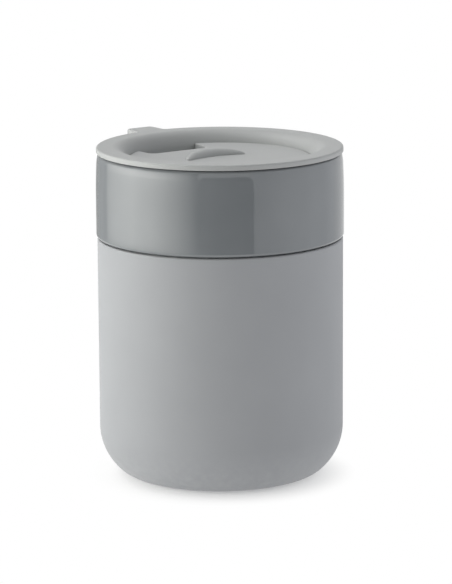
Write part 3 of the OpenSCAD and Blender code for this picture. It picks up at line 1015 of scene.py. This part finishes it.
def emission(name, colour, strength):
    """A plain glow, for a light or a card of the studio."""
    glow, nodes, links = new_finish(name)
    nodes.remove(nodes["Principled BSDF"])
    lamp = nodes.new("ShaderNodeEmission")
    lamp.inputs["Color"].default_value = (*colour, 1)
    lamp.inputs["Strength"].default_value = strength
    links.new(lamp.outputs["Emission"], nodes["Material Output"].inputs["Surface"])
    return glow, nodes, links, lamp


def studio_wall(name, from_side, to_side, low, high, glow):
    """An upright wall round the cup, between two directions in degrees: 0 is the camera, 90 its right."""
    wall = begin_outline(name, Vector((0, -STUDIO_R, low)))
    line_to(Vector((0, -STUDIO_R, high)))
    bpy.ops.mesh.select_all(action="SELECT")
    bpy.ops.transform.rotate(value=math.radians(-from_side), orient_axis="Z", center_override=(0, 0, 0))
    reach = math.radians(from_side - to_side)
    bpy.ops.mesh.spin(steps=WALL_STEPS, angle=reach, center=(0, 0, 0), axis=SEEN_FROM_ABOVE)
    bpy.ops.object.mode_set(mode="OBJECT")
    wall.rotation_euler.z = -VIEW_TURN
    wall.visible_camera = False
    wall.data.materials.append(glow)
    return wall


# %% [markdown]
# On the left a soft light gives the bright strip in the glaze. It begins just above the table, is brightest
# a little above the lid, and fades out towards the camera, its back end and its top. A pale screen on the
# right fills the other side, and is weaker near the camera and at its back end.

# %% Left light and right screen
LEFT_FROM = -123.5
LEFT_TO = -19
LEFT_WHITE = (1, 1, 0.962)
LEFT_STRENGTH = 3.62
LEFT_NONE = -0.32 * STUDIO_R
LEFT_FULL = -0.90 * STUDIO_R
LEFT_BACK_FULL = -0.10 * STUDIO_R
LEFT_BACK_END = 0.55 * STUDIO_R
LEFT_BACK_SHARE = 0.24
LEFT_LOW_NONE = 9.5 * MM
LEFT_LOW_FULL = 18 * MM
LEFT_RISE_Z = 0.06
LEFT_PEAK_Z = 0.12
LEFT_PEAK = 1.5
LEFT_TOP = 0.37
RIGHT_FROM = 29.5
RIGHT_TO = 125
RIGHT_WHITE = (0.97, 0.98, 1)
RIGHT_STRENGTH = 1.25
RIGHT_FRONT_SHARE = 0.65
RIGHT_FULL = 0.90 * STUDIO_R
RIGHT_BACK_FULL = 0.03 * STUDIO_R
RIGHT_BACK_END = 0.30 * STUDIO_R
RIGHT_BACK_SHARE = 0.75


def soft_light():
    glow, nodes, links, lamp = emission("soft_light", LEFT_WHITE, LEFT_STRENGTH)
    sideways = add_ramp(nodes, links, "X", LEFT_NONE, LEFT_FULL, 0, LEFT_STRENGTH)
    backwards = add_ramp(nodes, links, "Y", LEFT_BACK_FULL, LEFT_BACK_END, 1, LEFT_BACK_SHARE)
    lower_end = add_ramp(nodes, links, "Z", LEFT_LOW_NONE, LEFT_LOW_FULL)
    rise = add_ramp(nodes, links, "Z", LEFT_RISE_Z, LEFT_PEAK_Z, 1, LEFT_PEAK)
    upper_end = add_ramp(nodes, links, "Z", LEFT_PEAK_Z, LEFT_TOP, 1, 0)
    fades = add_math(nodes, links, "MULTIPLY", lower_end, upper_end)
    upwards = add_math(nodes, links, "MULTIPLY", fades, rise)
    ends = add_math(nodes, links, "MULTIPLY", backwards, upwards)
    links.new(add_math(nodes, links, "MULTIPLY", sideways, ends), lamp.inputs["Strength"])
    return glow


def pale_screen():
    glow, nodes, links, lamp = emission("pale_screen", RIGHT_WHITE, RIGHT_STRENGTH)
    start = math.sin(math.radians(RIGHT_FROM)) * STUDIO_R
    least = RIGHT_FRONT_SHARE * RIGHT_STRENGTH
    sideways = add_ramp(nodes, links, "X", start, RIGHT_FULL, least, RIGHT_STRENGTH)
    backwards = add_ramp(nodes, links, "Y", RIGHT_BACK_FULL, RIGHT_BACK_END, 1, RIGHT_BACK_SHARE)
    links.new(add_math(nodes, links, "MULTIPLY", sideways, backwards), lamp.inputs["Strength"])
    return glow


left_light = studio_wall("left_light", LEFT_FROM, LEFT_TO, 0, LEFT_TOP, soft_light())
right_screen = studio_wall("right_screen", RIGHT_FROM, RIGHT_TO, 0, WALL_TOP, pale_screen())
print("walls:", [(wall.name, len(wall.data.polygons)) for wall in (left_light, right_screen)])

# %% [markdown]
# Cards are what a photographer adds for a glossy thing. A dark one in front and two grey ones at the back,
# which only mirrored rays see, draw the dark strip and the edges of the glazed band. The dark card's upper
# corners are round, because its mirror image ends in sight below the lip.

# %% Cards for the glaze
CARD_TOP = 0.15
CARD_CORNER_W = 45 * MM
CARD_CORNER_H = 85 * MM
EDGE_CARD_TURN = 45
LEFT_EDGE_GLOW = 0.37
RIGHT_EDGE_GLOW = 0.82


def mirror_card(name, from_side, to_side, high, glow):
    """A card that is only there for mirrored rays."""
    card = studio_wall(name, from_side, to_side, 0, high, emission(name, WHITE, glow)[0])
    card.visible_diffuse = False
    card.visible_shadow = False
    return card


def round_top(card, from_side, to_side):
    """Lowers the top edge of a card towards both ends, along a quarter of an ellipse."""
    start, end = math.radians(from_side), math.radians(to_side)
    for vertex in card.data.vertices:
        side = math.atan2(vertex.co.x, -vertex.co.y)
        inward = STUDIO_R * min(side - start, end - side)
        short = min(max(1 - inward / CARD_CORNER_W, 0), 1)
        if vertex.co.z > CARD_CORNER_H:
            vertex.co.z -= CARD_CORNER_H * (1 - math.sqrt(1 - short**2))


dark_card = mirror_card("dark_card", LEFT_TO, RIGHT_FROM, CARD_TOP, 0)
round_top(dark_card, LEFT_TO, RIGHT_FROM)
mirror_card("left_edge_card", LEFT_FROM - EDGE_CARD_TURN, LEFT_FROM, WALL_TOP, LEFT_EDGE_GLOW)
mirror_card("right_edge_card", RIGHT_TO, RIGHT_TO + EDGE_CARD_TURN, WALL_TOP, RIGHT_EDGE_GLOW)
print("the dark card has round upper corners and", len(dark_card.data.polygons), "faces")

# %% [markdown]
# The overhead light is a large area lamp. It hangs to the left of the cup and some way behind it and is
# turned down towards it, so that walls which face the camera stay darker than tops. Its energy is worked
# out from the brightness that a mirror would show.

# %% Overhead light
TOP_SIZE = 1.4
TOP_STRENGTH = 3.85
TOP_PLACE = studio_place(-0.95, 0.6, 1.3)

bpy.ops.object.select_all(action="DESELECT")
bpy.ops.object.light_add(type="AREA", location=TOP_PLACE)
top_light = bpy.context.object
top_light.name = "top_light"
top_light.rotation_euler = (-top_light.location).to_track_quat("-Z", "Y").to_euler()
top_light.data.size = TOP_SIZE
top_light.data.energy = TOP_STRENGTH * math.pi * TOP_SIZE**2
top_light.visible_camera = False
print("lights:", [left_light.name, right_screen.name, top_light.name])

# %% [markdown]
# The table is plain white and takes the cup's soft shadow. Away from the cup it turns into an even white
# glow for the camera and for mirrored and refracted rays, so that it runs into the white room without a
# horizon. Lighting a backdrop until it turns white would wash out the cup as well. The world is the same
# white for those rays, and only a weak grey as light. A share of the table's glow also lights the rounded
# foot from below, as a sheet of lit acrylic does.

# %% Table and room
TABLE_SIZE = 6.0
TABLE_WHITE = 0.92
ROOM_LIGHT = 0.05
GLOW_MIDDLE = studio_place(0, -5 * MM, 0)
GLOW_FROM = 25 * MM
GLOW_TO = 48 * MM
GLOW_LEAST = 0.2
SHEET_SHARE = 0.6


def add_seen(nodes, links):
    """1 for rays from the camera, also by way of a mirror or a clear thing, and 0 for light."""
    ray = nodes.new("ShaderNodeLightPath")
    glossy, clear = ray.outputs["Is Glossy Ray"], ray.outputs["Is Transmission Ray"]
    either = add_math(nodes, links, "MAXIMUM", glossy, clear)
    return add_math(nodes, links, "MAXIMUM", ray.outputs["Is Camera Ray"], either)


def table_white():
    finish, nodes, links = new_finish("table_white")
    sheet = nodes["Principled BSDF"]
    sheet.inputs["Base Color"].default_value = (TABLE_WHITE, TABLE_WHITE, TABLE_WHITE, 1)
    sheet.inputs["Roughness"].default_value = 1
    sheet.inputs["Specular IOR Level"].default_value = 0
    reach = nodes.new("ShaderNodeVectorMath")
    reach.operation = "DISTANCE"
    reach.inputs[1].default_value = GLOW_MIDDLE
    fade = nodes.new("ShaderNodeMapRange")
    fade.interpolation_type = "SMOOTHSTEP"
    fade.inputs["To Min"].default_value = GLOW_LEAST
    fade.inputs["From Min"].default_value = GLOW_FROM
    fade.inputs["From Max"].default_value = GLOW_TO
    glow = nodes.new("ShaderNodeEmission")
    glow.inputs["Color"].default_value = (*WHITE, 1)
    either = nodes.new("ShaderNodeMixShader")
    links.new(add_place(nodes), reach.inputs[0])
    links.new(reach.outputs["Value"], fade.inputs["Value"])
    amount = nodes.new("ShaderNodeMix")
    amount.inputs["A"].default_value = SHEET_SHARE
    links.new(fade.outputs["Result"], amount.inputs["B"])
    links.new(add_seen(nodes, links), amount.inputs["Factor"])
    links.new(amount.outputs["Result"], either.inputs["Fac"])
    links.new(sheet.outputs["BSDF"], either.inputs[1])
    links.new(glow.outputs["Emission"], either.inputs[2])
    links.new(either.outputs["Shader"], nodes["Material Output"].inputs["Surface"])
    return finish


bpy.ops.object.select_all(action="DESELECT")
bpy.ops.mesh.primitive_plane_add(size=TABLE_SIZE)
table = bpy.context.object
table.name = "table"
table.data.materials.append(table_white())


def white_room():
    world = bpy.data.worlds.new("white_room")
    world.use_nodes = True
    nodes, links = world.node_tree.nodes, world.node_tree.links
    dim = nodes["Background"]
    dim.inputs["Color"].default_value = (*WHITE, 1)
    dim.inputs["Strength"].default_value = ROOM_LIGHT
    bright = nodes.new("ShaderNodeBackground")
    bright.inputs["Color"].default_value = (*WHITE, 1)
    either = nodes.new("ShaderNodeMixShader")
    links.new(add_seen(nodes, links), either.inputs["Fac"])
    links.new(dim.outputs["Background"], either.inputs[1])
    links.new(bright.outputs["Background"], either.inputs[2])
    links.new(either.outputs["Shader"], nodes["World Output"].inputs["Surface"])
    return world


bpy.context.scene.world = white_room()
print("table:", table.name, "in the room:", bpy.context.scene.world.name)
